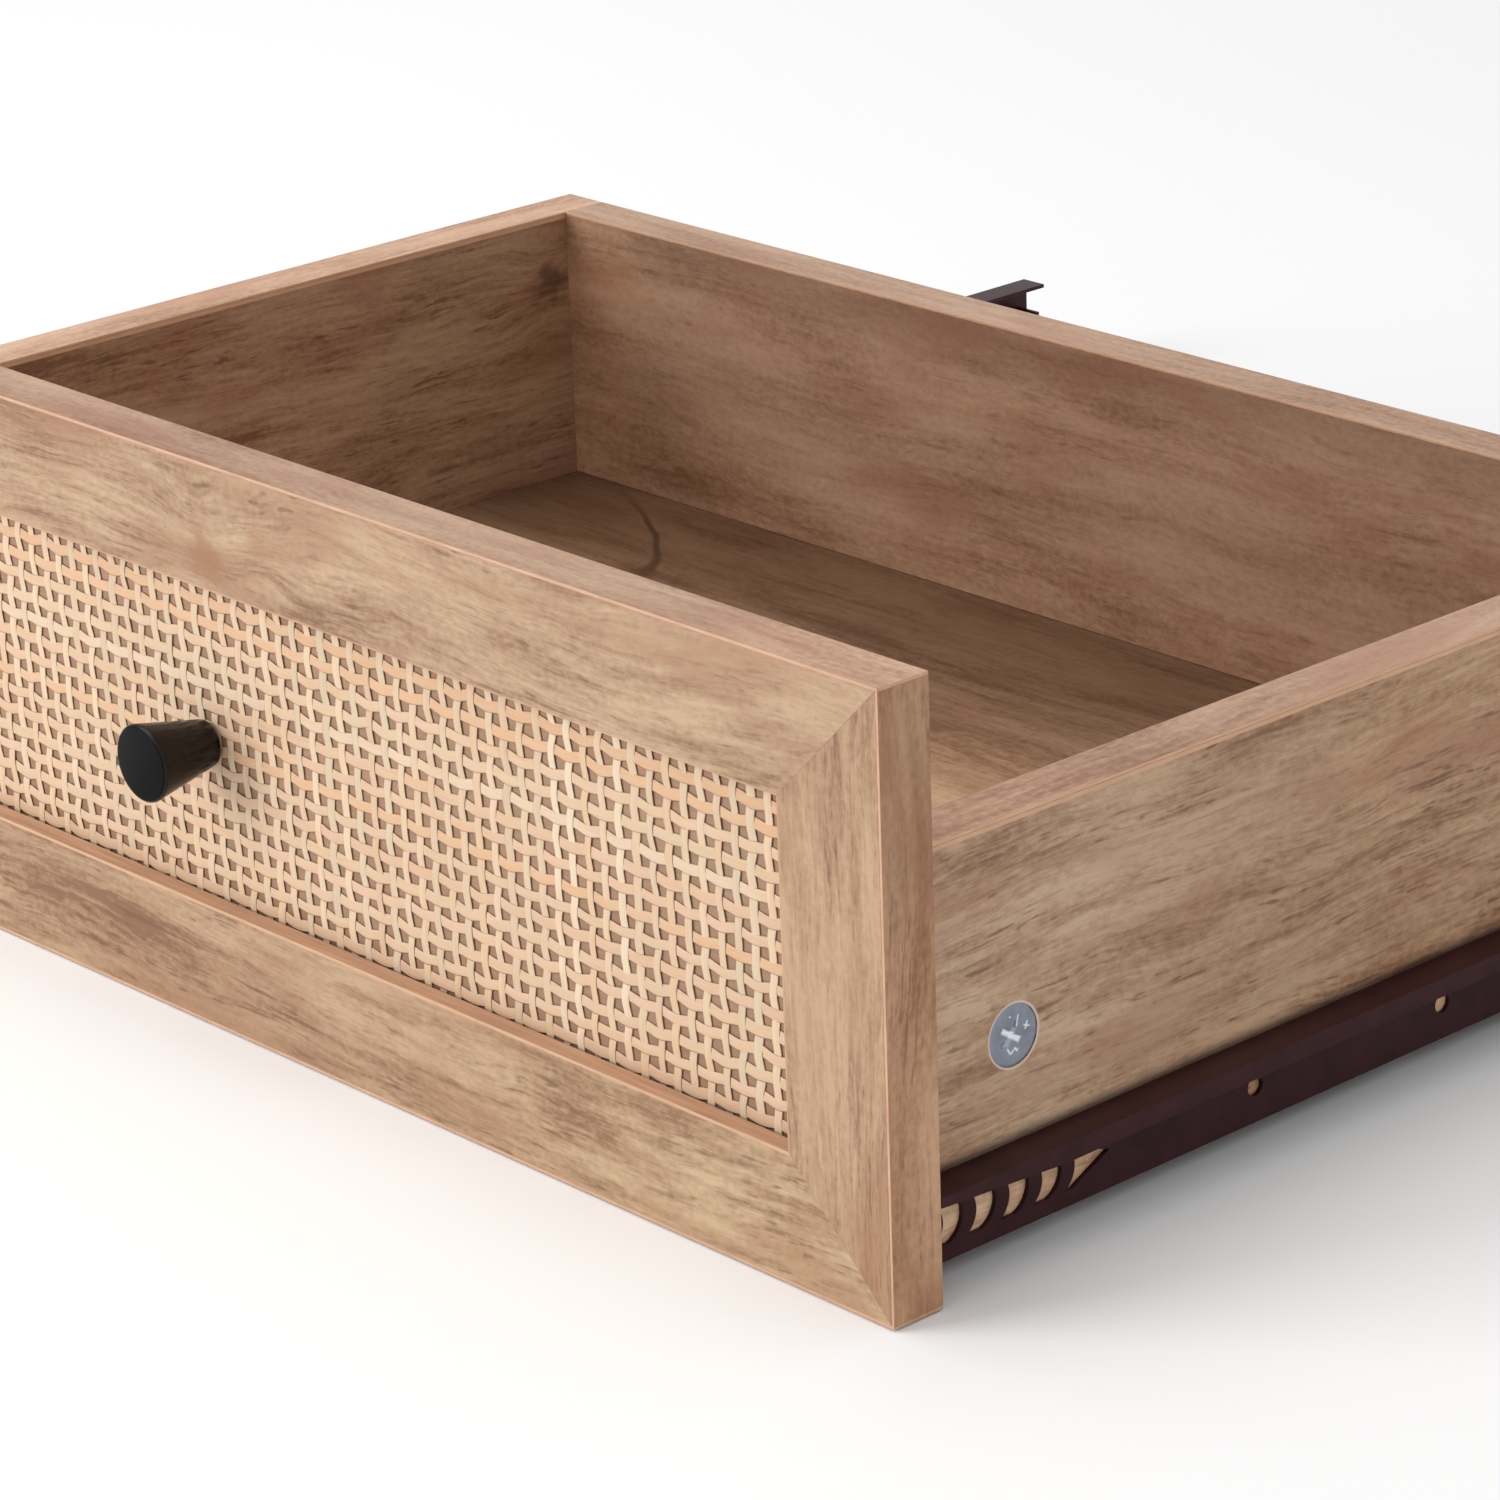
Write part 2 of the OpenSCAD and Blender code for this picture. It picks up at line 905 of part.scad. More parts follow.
front_top_rail();
front_bottom_rail();
front_left_stile();
front_right_stile();
front_backing_panel();
cane_webbing();
front_top_band();
front_bottom_band();
front_left_band();
front_right_band();
left_side_panel();
right_side_panel();
back_panel();
bottom_panel();
left_side_band();
right_side_band();
back_band();
knob();
knob_washer();
knob_screw();
cam_locks();
cam_bolts();
front_dowels();
back_screws();
drawer_runner_left();
drawer_runner_right();
runner_screws_left();
runner_screws_right();
rear_axle_left();
rear_axle_right();
rear_roller_left();
rear_roller_right();
desk_runner_left();
desk_runner_right();
front_axle_left();
front_axle_right();
front_roller_left();
front_roller_right();
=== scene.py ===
import math
import random

import bmesh
import bpy
from mathutils import Matrix, Vector, noise


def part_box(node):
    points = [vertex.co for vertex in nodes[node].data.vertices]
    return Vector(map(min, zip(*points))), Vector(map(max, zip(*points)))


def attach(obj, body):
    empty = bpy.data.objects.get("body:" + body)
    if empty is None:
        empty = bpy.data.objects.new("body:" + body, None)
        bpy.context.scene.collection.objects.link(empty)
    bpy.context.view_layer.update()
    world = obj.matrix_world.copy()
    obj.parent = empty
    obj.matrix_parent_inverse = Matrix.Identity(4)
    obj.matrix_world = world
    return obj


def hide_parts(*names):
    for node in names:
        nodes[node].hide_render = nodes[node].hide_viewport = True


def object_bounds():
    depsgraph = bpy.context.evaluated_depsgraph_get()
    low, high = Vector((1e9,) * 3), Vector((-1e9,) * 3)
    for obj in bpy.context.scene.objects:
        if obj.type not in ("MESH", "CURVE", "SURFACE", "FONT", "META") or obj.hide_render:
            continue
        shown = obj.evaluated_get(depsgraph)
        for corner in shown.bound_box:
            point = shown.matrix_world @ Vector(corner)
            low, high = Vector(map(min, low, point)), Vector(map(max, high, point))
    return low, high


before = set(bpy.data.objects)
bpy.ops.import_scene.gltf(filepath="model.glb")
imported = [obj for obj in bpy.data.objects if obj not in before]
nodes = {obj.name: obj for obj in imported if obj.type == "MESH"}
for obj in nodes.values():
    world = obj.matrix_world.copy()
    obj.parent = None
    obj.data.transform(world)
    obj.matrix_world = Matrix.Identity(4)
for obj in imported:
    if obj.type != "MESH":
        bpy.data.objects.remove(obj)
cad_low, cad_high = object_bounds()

MM = 0.001
scene = bpy.context.scene


def mid(node):
    """The centre of a CAD node's box at rest."""
    low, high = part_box(node)
    return (low + high) / 2


def tone(r, g, b):
    """A colour given as 0 to 255 display values, as the linear colour that a shader takes."""
    out = []
    for v in (r, g, b):
        v /= 255
        out.append(v / 12.92 if v <= 0.04045 else ((v + 0.055) / 1.055) ** 2.4)
    return (*out, 1.0)


def grey(value):
    return (value, value, value, 1.0)


PLAIN = grey(1.0)
SEED_STEP = (217.3, 91.7, 53.9)  # how far a seed of 1 moves a pattern, in mm
FACES_ALONG = (0.75, 0.9)  # from not to fully facing along an axis, as a share of the normal's length
LOW_HIGH = (0.3, 0.7)  # where the two colours of a mottled finish stand on its ramp


class Shader:
    """A node material on the way to being finished. Values may be sockets or constants."""

    def __init__(self, name):
        self.material = bpy.data.materials.new(name)
        self.material.use_nodes = True
        self.tree = self.material.node_tree
        self.tree.nodes.clear()
        self.surface = self.node("ShaderNodeBsdfPrincipled")
        output = self.node("ShaderNodeOutputMaterial")
        self.tree.links.new(self.surface.outputs["BSDF"], output.inputs["Surface"])
        self.where = self.node("ShaderNodeTexCoord")

    def node(self, kind, **settings):
        made = self.tree.nodes.new(kind)
        for key, value in settings.items():
            setattr(made, key, value)
        return made

    def put(self, socket, value):
        if isinstance(value, bpy.types.NodeSocket):
            self.tree.links.new(value, socket)
        else:
            socket.default_value = value

    def math(self, operation, a, b=0.0, c=0.0):
        made = self.node("ShaderNodeMath", operation=operation)
        for socket, value in zip(made.inputs, (a, b, c)):
            self.put(socket, value)
        return made.outputs[0]

    def hypot(self, a, b):
        return self.math("SQRT", self.math("ADD", self.math("MULTIPLY", a, a), self.math("MULTIPLY", b, b)))

    def step(self, value, low, high, to_low=0.0, to_high=1.0):
        """A smooth step of value from low to high."""
        made = self.node("ShaderNodeMapRange", interpolation_type="SMOOTHSTEP")
        self.put(made.inputs["Value"], value)
        made.inputs["From Min"].default_value = low
        made.inputs["From Max"].default_value = high
        made.inputs["To Min"].default_value = to_low
        made.inputs["To Max"].default_value = to_high
        return made.outputs["Result"]

    def split(self, vector):
        """The three numbers of a vector."""
        made = self.node("ShaderNodeSeparateXYZ")
        self.put(made.inputs[0], vector)
        return made.outputs

    def join(self, values):
        """A vector from three numbers."""
        made = self.node("ShaderNodeCombineXYZ")
        for socket, value in zip(made.inputs, values):
            self.put(socket, value)
        return made.outputs[0]

    def stretch(self, vector, factor, shift=(0, 0, 0)):
        made = self.node("ShaderNodeVectorMath", operation="MULTIPLY_ADD")
        self.put(made.inputs[0], vector)
        made.inputs[1].default_value = factor
        made.inputs[2].default_value = shift
        return made.outputs[0]

    def along(self, axis):
        """The place along one of the piece's own axes, in metres."""
        return self.split(self.where.outputs["Object"])["xyz".index(axis)]

    def place(self, order="xyz", seed=0.0):
        """The place on the piece in mm, with its axes in the given order."""
        joined = self.join([self.along(axis) for axis in order])
        return self.stretch(joined, (1 / MM, 1 / MM, 1 / MM), [seed * v for v in SEED_STEP])

    def noise(self, vector, along, across, detail=2.0, rough=0.5, shift=0.0):
        """Noise whose features are about so many mm long and wide."""
        made = self.node("ShaderNodeTexNoise")
        self.put(
            made.inputs["Vector"],
            self.stretch(vector, (1 / along, 1 / across, 1 / across), (shift, 1.7 * shift, 0.6 * shift)),
        )
        made.inputs["Scale"].default_value = 1.0
        made.inputs["Detail"].default_value = detail
        made.inputs["Roughness"].default_value = rough
        return made.outputs["Fac"]

    def sway(self, value, width):
        """Noise as a distance, up to half the width to either side."""
        return self.math("MULTIPLY_ADD", value, width, -width / 2)

    def ramp(self, value, *stops):
        made = self.node("ShaderNodeValToRGB")
        self.put(made.inputs[0], value)
        marks = made.color_ramp.elements
        while len(marks) < len(stops):
            marks.new(0.5)
        for mark, (at, colour) in zip(marks, stops):
            mark.position = at
            mark.color = colour
        return made.outputs["Color"]

    def mottle(self, value, low, high):
        """Two colours mixed by noise."""
        return self.ramp(value, *zip(LOW_HIGH, (low, high)))

    def mix(self, share, a, b, blend="MIX"):
        made = self.node("ShaderNodeMix", data_type="RGBA", blend_type=blend, clamp_factor=True)
        self.put(made.inputs["Factor"], share)
        sockets = [s for s in made.inputs if s.type == "RGBA"]
        self.put(sockets[0], a)
        self.put(sockets[1], b)
        return [s for s in made.outputs if s.type == "RGBA"][0]

    def multiply(self, a, b):
        """The product of two colours."""
        return self.mix(1.0, a, b, "MULTIPLY")

    def bump(self, height, strength, distance):
        made = self.node("ShaderNodeBump")
        self.put(made.inputs["Height"], height)
        made.inputs["Strength"].default_value = strength
        made.inputs["Distance"].default_value = distance
        self.put(self.surface.inputs["Normal"], made.outputs[0])

    def facing(self, axis):
        """1 where the piece's own surface faces along the axis, 0 elsewhere."""
        normal = self.split(self.where.outputs["Normal"])
        return self.step(self.math("ABSOLUTE", normal["xyz".index(axis)]), *FACES_ALONG)

    def set(self, **values):
        for name, value in values.items():
            self.put(self.surface.inputs[name.replace("_", " ")], value)
        return self.material


# ---- wood ----

LIGHT = tone(222, 194, 161)
PALE = tone(206, 175, 143)
TAN = tone(190, 157, 125)
BROWN = tone(158, 121, 91)
RED = tone(190, 145, 114)
PORE = tone(132, 99, 73)
PEACH = tone(204, 163, 132)
HOLE_RIM = tone(216, 194, 186)
EDGE_TONES = {
    "peach": (tone(188, 147, 116), PEACH),
    "warm": (tone(172, 131, 102), tone(200, 157, 126)),
    "bright": (tone(202, 159, 127), tone(214, 171, 138)),
    "cut": (tone(192, 152, 122), PEACH),
}

# each noise of the print: mm along the grain, mm across it, detail, roughness and shift
BROAD_BEND = (110, 46, 1.0, 0.5, 3.1)
SMALL_BEND = (18, 9, 1.5, 0.5, 7.7)
CLOUD = (95, 20, 1.0, 0.5, 1.3)
PATCH = (40, 8.0, 3.0, 0.6, 5.2)
STREAK = (30, 2.2, 2.0, 0.5, 2.2)
FIBRE = (7.5, 0.7, 2.0, 0.6, 8.4)
CRINKLE = (2.4, 1.6, 2.0, 0.6, 4.6)
GROWTH = (300, 24, 0.5, 0.5, 5.9)
BLUSH = (60, 22, 2.0, 0.5, 9.3)
DASH = (7.5, 1.25, 1.0, 0.4, 6.1)
LINE = (46, 1.7, 1.0, 0.4, 6.9)
FLOCK = (40, 11, 2.0, 0.5, 0.7)
LOOP_WOBBLE = (16, 16, 2.0, 0.5, 2.7)

# distances in mm, and shares
BROAD_SWAY = 15.0
SMALL_SWAY = 2.2
LOOP_SWAY = 4.0
KNOT_SQUEEZE = 0.8  # along the grain, so that a knot is longer that way
KNOT_PUSH = 0.55
RING_COUNT = 9.0
RING_SHARPNESS = 3.0
RING_DEPTH = 0.3
RIM_BLUR = 0.1
HOLE_RIM_STRENGTH = 0.85
RING_SHIFT = 0.12  # of the pale ring round a cam, so that it is broader on one side


def loop_line(s, apart, p, at, up, length, width, turn, strength):
    """Dark growth line: the tip and one side of a long ellipse in the plane of the board."""
    da = s.math("SUBTRACT", apart[0], at)
    db = s.math("SUBTRACT", apart[1], up)
    db = s.math("ADD", db, s.sway(s.noise(p, *LOOP_WOBBLE), LOOP_SWAY))
    c, d = math.cos(turn), math.sin(turn)
    along = s.math("MULTIPLY_ADD", da, c / length, s.math("MULTIPLY", db, d / length))
    across = s.math("MULTIPLY_ADD", db, c / width, s.math("MULTIPLY", da, -d / width))
    off = s.math("ABSOLUTE", s.math("SUBTRACT", s.hypot(along, across), 1.0))
    line = s.step(off, 0.03, 0.15, strength, 0.0)
    upper = s.math("MULTIPLY", s.step(across, -0.7, 0.1), s.step(along, -0.9, 0.2))
    return s.math("MULTIPLY", line, upper)


def knot_mark(s, apart, p, bent, at, up, size, strength):
    """A knot: the place across the grain, pushed apart round it, and the share of its stain."""
    da = s.math("MULTIPLY", s.math("SUBTRACT", apart[0], at), KNOT_SQUEEZE)
    db = s.math("SUBTRACT", apart[1], up)
    far = s.hypot(da, db)
    near = s.step(far, size * 0.4, size * 3.2, 1.0, 0.0)
    bent = s.math("ADD", bent, s.math("MULTIPLY", s.math("MULTIPLY", near, db), KNOT_PUSH))
    rough = s.noise(p, 7, 4, 3.0, 0.6, shift=size)
    ragged = s.math("MULTIPLY_ADD", rough, size * 2.2, s.math("SUBTRACT", far, size * 1.1))
    return bent, s.step(ragged, size * 0.1, size * 1.3, strength, 0.0)


def pores(s, p, q, value):
    """Short dark dashes and longer lines along the grain, thicker in flocks and on darker wood."""
    dash = s.step(s.noise(q, *DASH), 0.58, 0.7)
    line = s.step(s.noise(q, *LINE), 0.62, 0.74)
    flock = s.math("MULTIPLY", s.step(s.noise(p, *FLOCK), 0.42, 0.62), s.step(value, 0.35, 0.75, 1.0, 0.3))
    return s.math("MULTIPLY", s.math("MAXIMUM", dash, line), s.math("MULTIPLY_ADD", flock, 0.62, 0.05))


def tint(s, rows):
    """The product of colours, each going smoothly along one axis from one place and colour to another."""
    product = PLAIN
    for axis, low, high, start, end in rows:
        product = s.multiply(product, s.mix(s.step(s.along(axis), low, high), start, end))
    return product


def shaded(s, colour, shade, inside, fade, fade_in):
    """The print under the shade of its board, with painted shade on the face that is turned to the inside,
    and multiplied by the fades, which make it lighter and darker along the board.
    """
    colour = s.multiply(colour, (*shade, 1.0))
    within = 0.0
    if inside:
        axis, low, high, factor = inside
        within = s.step(s.math("ABSOLUTE", s.along(axis)), low, high, 1.0, 0.0)
        colour = s.mix(within, colour, s.multiply(colour, (*factor, 1.0)))
    if fade or fade_in:
        colour = s.multiply(colour, s.mix(within, tint(s, fade), tint(s, fade_in)))
    return colour


def grain(
    s, order, seed, knots=(), shade=(1, 1, 1), inside=None, fade=(), fade_in=(), loop=None,
    figure=0.3, ticks=1.0, red=1.0, soft=1.0,
):
    """Colour, relief and gloss of a printed wood laminate, with its grain along the first axis of order; its
    colour also carries the board's shades and fades, which hold painted light and shade.
    """
    p = s.place(order, seed)
    apart = s.split(p)
    broad = s.sway(s.noise(p, *BROAD_BEND), BROAD_SWAY)
    small = s.sway(s.noise(p, *SMALL_BEND), SMALL_SWAY)
    bent = s.math("ADD", apart[1], s.math("ADD", broad, small))
    stains = []
    for *mark, stain in knots:
        bent, share = knot_mark(s, apart, p, bent, *mark)
        stains.append((share, stain))
    q = s.join((apart[0], bent, apart[2]))
    streak, fibre = s.noise(q, *STREAK), s.noise(q, *FIBRE)
    parts = (
        (s.noise(q, *CLOUD), 0.95), (s.noise(q, *PATCH), soft), (streak, 0.75 * soft), (fibre, 0.65 * soft),
        (s.noise(q, *CRINKLE), 0.6),
    )
    value = 0.5 + 0.07 * figure - 0.5 * sum(share for _, share in parts)
    for part, share in parts:
        value = s.math("MULTIPLY_ADD", part, share, value)
    waves = s.math("PINGPONG", s.math("MULTIPLY", s.noise(q, *GROWTH), RING_COUNT), 1.0)
    value = s.math("MULTIPLY_ADD", s.math("POWER", waves, RING_SHARPNESS), -RING_DEPTH * figure, value)
    colour = s.ramp(value, (0.12, BROWN), (0.38, TAN), (0.56, PALE), (0.82, LIGHT))
    blush = s.math("MULTIPLY", s.step(s.noise(p, *BLUSH), 0.5, 0.72), 0.6 * red)
    colour = s.mix(blush, colour, RED)
    pore = pores(s, p, q, value)
    colour = s.mix(s.math("MULTIPLY", pore, ticks), colour, PORE)
    for share, stain in stains:
        colour = s.mix(share, colour, stain)
    if loop:
        colour = s.mix(loop_line(s, apart, p, *loop), colour, PORE)
    colour = shaded(s, colour, shade, inside, fade, fade_in)
    relief = s.math("MULTIPLY_ADD", fibre, 0.6, s.math("SUBTRACT", streak, pore))
    gloss = s.math("MULTIPLY_ADD", streak, -0.12, 0.56)
    return colour, relief, gloss


def chipboard(s, seed):
    """Raw board edge: pressed chips with darker gaps."""
    p = s.place("xyz", seed)
    cells = s.node("ShaderNodeTexVoronoi")
    s.put(cells.inputs["Vector"], s.stretch(p, (0.45, 0.3, 0.6)))
    cells.inputs["Scale"].default_value = 1.0
    apart = s.node("ShaderNodeSeparateColor")
    s.put(apart.inputs[0], cells.outputs["Color"])
    chip = s.math("MULTIPLY", apart.outputs[0], 0.5)
    chips = s.math("MULTIPLY_ADD", s.noise(p, 1.4, 0.7, 3.0, 0.7), 0.6, chip)
    return s.ramp(chips, (0.2, tone(112, 82, 56)), (0.5, tone(160, 130, 97)), (0.85, tone(190, 163, 128)))


def rim_line(s, axis, edge, width):
    """1 in a line of that width in mm beside the place of an edge along an axis."""
    near = s.math("ABSOLUTE", s.math("SUBTRACT", s.along(axis), edge))
    return s.step(near, (width - RIM_BLUR) * MM, (width + RIM_BLUR) * MM, 1.0, 0.0)


def hole_ring(s, y, z, radius, width, outside):
    """Strength of the pale ring of that width in mm round a hole drilled in a side board's outer face."""
    far = s.hypot(s.math("SUBTRACT", s.along("y"), y), s.math("SUBTRACT", s.along("z"), z))
    ring = s.step(far, radius + width * 0.6 * MM, radius + width * MM, HOLE_RIM_STRENGTH, 0.0)
    outer_face = s.step(s.math("ABSOLUTE", s.along("x")), outside - 1.0 * MM, outside - 0.5 * MM)
    return s.math("MULTIPLY", ring, outer_face)


def laminate(name, order, face, seed, edge="chip", rim=None, ring=None, **looks):
    """Board with the wood print on the two faces that look along face, and another finish on the others."""
    s = Shader(name)
    colour, relief, gloss = grain(s, order, seed, **looks)
    p = s.place(order, seed)
    if edge == "chip":
        other = chipboard(s, seed)
    elif edge == "warm":
        other = s.mottle(s.noise(p, 26, 1.6, 3.0, 0.6), *EDGE_TONES[edge])
    else:
        other = s.mottle(s.noise(p, 9, 2.5, 2.0), *EDGE_TONES[edge])
    if rim:
        axis, at, width, strength, tones = rim
        cut = s.mottle(s.noise(p, 7, 2.5, 2.0), *EDGE_TONES[tones])
        colour = s.mix(s.math("MULTIPLY", rim_line(s, axis, at, width), strength), colour, cut)
    if ring:
        colour = s.mix(hole_ring(s, *ring), colour, HOLE_RIM)
    colour = s.mix(s.facing(face), other, colour)
    s.bump(relief, 0.16, 0.12 * MM)
    return s.set(Base_Color=colour, Roughness=gloss, Specular_IOR_Level=0.34)


# ---- other finishes ----


def cane_finish(name, order, seed):
    """Split cane: each strand has its own tone, fine fibres and stretches that are orange, grey or pink."""
    s = Shader(name)
    own = s.node("ShaderNodeAttribute", attribute_name="strand_tone")
    p = s.place(order, seed)
    fibre = s.noise(p, 14, 0.28, 2.0, 0.6)
    stretch = s.noise(p, 24, 4.5, 2.0, 0.5, shift=4.0)
    other = s.noise(p, 30, 4.5, 2.0, 0.5, shift=14.0)
    orange = s.math("MULTIPLY", s.step(stretch, 0.52, 0.7), 0.36)
    dull = s.math("MULTIPLY", s.step(other, 0.54, 0.7), 0.25)
    pink = s.math("MULTIPLY", s.step(other, 0.3, 0.44, 1.0, 0.0), 0.3)
    colour = s.mix(orange, own.outputs["Color"], tone(206, 162, 120))
    colour = s.mix(dull, colour, tone(198, 180, 150))
    colour = s.mix(pink, colour, tone(216, 180, 158))
    shade = s.ramp(fibre, (0.25, (0.88, 0.86, 0.83, 1.0)), (0.5, (0.98, 0.975, 0.97, 1.0)), (0.8, PLAIN))
    s.bump(fibre, 0.25, 0.08 * MM)
    return s.set(
        Base_Color=s.multiply(colour, shade), Roughness=s.math("MULTIPLY_ADD", fibre, 0.2, 0.36),
        Specular_IOR_Level=0.4,
    )


def coated_steel():
    """Dark brown baked coating with a faint orange-peel relief."""
    s = Shader("runner_coating")
    p = s.place()
    rubbed = s.noise(p, 46, 9, 3.0, 0.6)
    s.bump(s.noise(p, 1.1, 1.1), 0.12, 0.06 * MM)
    return s.set(
        Base_Color=s.mottle(rubbed, tone(45, 17, 21), tone(60, 26, 30)),
        Roughness=s.math("MULTIPLY_ADD", rubbed, 0.14, 0.26), Specular_IOR_Level=0.14,
    )


def plated(name, low, high, rough, wear_and_highlight=None):
    """Plated or cast metal with fine brushing and cloudy gloss, painted bright where the named attribute says
    so, for wear and painted highlight.
    """
    s = Shader(name)
    p = s.place()
    cloud = s.noise(p, 5, 5, 3.0, 0.6)
    colour = s.mottle(cloud, low, high)
    if wear_and_highlight:
        bright = s.node("ShaderNodeAttribute", attribute_name=wear_and_highlight)
        colour = s.mix(bright.outputs["Fac"], colour, tone(236, 243, 248))
    s.bump(s.noise(p, 0.9, 0.35, 2.0, 0.6), 0.08, 0.04 * MM)
    return s.set(Base_Color=colour, Metallic=1.0, Roughness=s.math("MULTIPLY_ADD", cloud, 0.2, rough))


def black_paint():
    """Black coat: duller on the knob's end, glossier round its side, where a little brown is a painted
    reflection of the cane.
    """
    s = Shader("knob_black_coat")
    p = s.place()
    cloud = s.noise(p, 9, 9)
    front = s.facing("y")
    end = s.mottle(cloud, tone(7, 8, 9), tone(11, 12, 14))
    # painted reflection of the cane: the side's black is mixed with a little brown
    side = s.mottle(cloud, tone(20, 15, 12), tone(28, 21, 17))
    s.bump(s.noise(p, 0.8, 0.8), 0.06, 0.04 * MM)
    return s.set(
        Base_Color=s.mix(front, side, end), Roughness=s.math("MULTIPLY_ADD", cloud, 0.1, 0.18),
        Specular_IOR_Level=s.math("MULTIPLY_ADD", front, -0.17, 0.22),
    )


def nylon():
    """Off-white plastic of the rollers."""
    s = Shader("roller_plastic")
    p = s.place()
    colour = s.mottle(s.noise(p, 6, 6), tone(226, 222, 208), tone(238, 236, 226))
    s.bump(s.noise(p, 0.6, 0.6, 1.0), 0.05, 0.05 * MM)
    return s.set(Base_Color=colour, Roughness=0.48, Subsurface_Weight=0.12, Subsurface_Scale=2.0 * MM)


def beech():
    """Plain wood of the dowels, with its grain along them."""
    s = Shader("beech_dowels")
    fleck = s.noise(s.place("yxz", 2.0), 3.5, 0.5)
    colour = s.ramp(fleck, (0.35, tone(196, 152, 104)), (0.65, tone(224, 188, 140)))
    s.bump(fleck, 0.2, 0.1 * MM)
    return s.set(Base_Color=colour, Roughness=0.62)


def hardboard():
    """Brown backing panel behind the cane."""
    s = Shader("brown_backing")
    p = s.place("xzy", 5.0)
    cloud = s.noise(p, 40, 9, 3.0, 0.6)
    fibre = s.noise(p, 9, 0.7, 3.0, 0.6)
    value = s.math("MULTIPLY_ADD", fibre, 0.5, s.math("MULTIPLY", cloud, 0.5))
    s.bump(fibre, 0.15, 0.1 * MM)
    colour = s.mottle(value, tone(140, 108, 86), tone(164, 130, 104))
    return s.set(Base_Color=colour, Roughness=0.62, Specular_IOR_Level=0.3)


WELD_DISTANCE = 1e-6
FLAT_ANGLE = math.radians(0.5)
SHARP_ANGLE = math.radians(40)


def wear(material, *names):
    """Gives CAD nodes their finish."""
    for name in names:
        for place in nodes[name].material_slots:
            place.link = "OBJECT"
            place.material = material


def soften(width, *names):
    """Rounds the sharp CAD edges by a width in mm, so that they catch the light."""
    for name in names:
        weld = nodes[name].modifiers.new("weld", "WELD")
        weld.merge_threshold = WELD_DISTANCE
        # faces in one plane become one, or the bevel leaves slits between a hole and its neighbours
        flat = nodes[name].modifiers.new("flat", "DECIMATE")
        flat.decimate_type = "DISSOLVE"
        flat.angle_limit = FLAT_ANGLE
        bevel = nodes[name].modifiers.new("edges", "BEVEL")
        bevel.width = width * MM
        bevel.segments = 3
        bevel.limit_method = "ANGLE"
        bevel.angle_limit = SHARP_ANGLE
        bevel.harden_normals = True


# ---- finishes on the CAD nodes ----

# shades that multiply the print of each board: partly each board's tone and partly painted light and shade,
# and the two IN_ shades paint shade on the faces turned to the inside
FRONT = (0.65, 0.615, 0.58)
RIGHT_STILE = (0.63, 0.57, 0.525)
TOP_EDGE = (0.73, 0.65, 0.67)
SIDE_TOP = (0.96, 0.86, 0.89)
END_EDGE = (0.76, 0.62, 0.55)
SIDE = (0.755, 0.685, 0.655)
IN_SIDE_PAINTED_SHADE = (0.8, 0.75, 0.73)
IN_BACK_PAINTED_SHADE = (0.7, 0.655, 0.66)

# changes of the print: how strong its rings, pores and red patches are, and how strong its fine parts
EDGES = {"figure": 0.2, "ticks": 0.3, "soft": 0.6}
ENDS = {"figure": 0.2, "ticks": 0.9, "red": 1.6, "soft": 0.6}
BACK = {"ticks": 0.5, "soft": 0.5}
BOTTOM = {"figure": 0.5, "ticks": 0.5, "red": 0.9, "soft": 0.75}


def on_grain(seed, a, b):
    """A place given in metres along and across the grain, as the shader's own mm."""
    return a / MM + seed * SEED_STEP[0], b / MM + seed * SEED_STEP[1]


front_low, front_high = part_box("front_top_band")
side_low, side_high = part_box("right_side_panel")
back_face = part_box("back_panel")[0].y
runner_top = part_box("drawer_runner_right")[1].z
rail_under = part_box("front_top_rail")[0].z

# rows of a fade: axis, from, to, and the colours that multiply the print at both
# painted light on the wood below the runner's top, seen through its slots, and a band of painted shade just
# above the runner, with a little painted light just above that band
painted_light_and_shade_near_runner = (
    ("z", runner_top - 9.0 * MM, runner_top - 3.0 * MM, grey(5.5), PLAIN),
    ("z", runner_top + 0.1 * MM, runner_top + 3.2 * MM, grey(0.28), grey(1.25)),
    ("z", runner_top + 3.0 * MM, runner_top + 10.0 * MM, PLAIN, grey(0.8)),
)
# painted light and shade on the right side: lighter and bluer at the front, darker towards the back, a little
# lighter again further back
painted_light_and_shade_right_side = (
    ("y", -0.165, -0.105, (1.06, 1.11, 1.16, 1.0), (0.92, 0.9, 0.89, 1.0)),
    ("y", -0.085, -0.045, PLAIN, (1.07, 1.06, 1.03, 1.0)),
)
# painted light and shade on the back's inside face: lighter low down, darker at the top, and lighter near the
# left corner
painted_light_and_shade_in_back = (
    ("z", 0.022, 0.062, grey(1.3), PLAIN),
    ("z", 0.08, 0.104, PLAIN, grey(0.8)),
    ("x", -0.217, -0.172, grey(1.5), PLAIN),
)
# the bottom rail darker and warmer towards its left end, lighter towards its right end
low_rail_gradient = (("x", 0.05, 0.17, (0.94, 0.91, 0.89, 1.0), (1.08, 1.12, 1.1, 1.0)),)
# painted shade on the bottom: much darker towards the back, and lighter at the front
painted_shade_to_the_back = (("y", -0.08, 0.075, (1.08, 0.94, 0.83, 1.0), (0.239, 0.17, 0.134, 1.0)),)
# the front's top edge lighter towards its right end
top_edge_lighter_at_right = (("x", 0.18, 0.21, PLAIN, grey(1.2)),)
# the front's end faces darker towards the top
end_darker_at_top = (("z", 0.085, 0.11, PLAIN, grey(0.84)),)
# painted light and shade on the right side's top edge: lighter at the front, darker towards the back
painted_light_and_shade_right_edge = (("y", -0.175, -0.11, grey(1.12), grey(0.82)),)

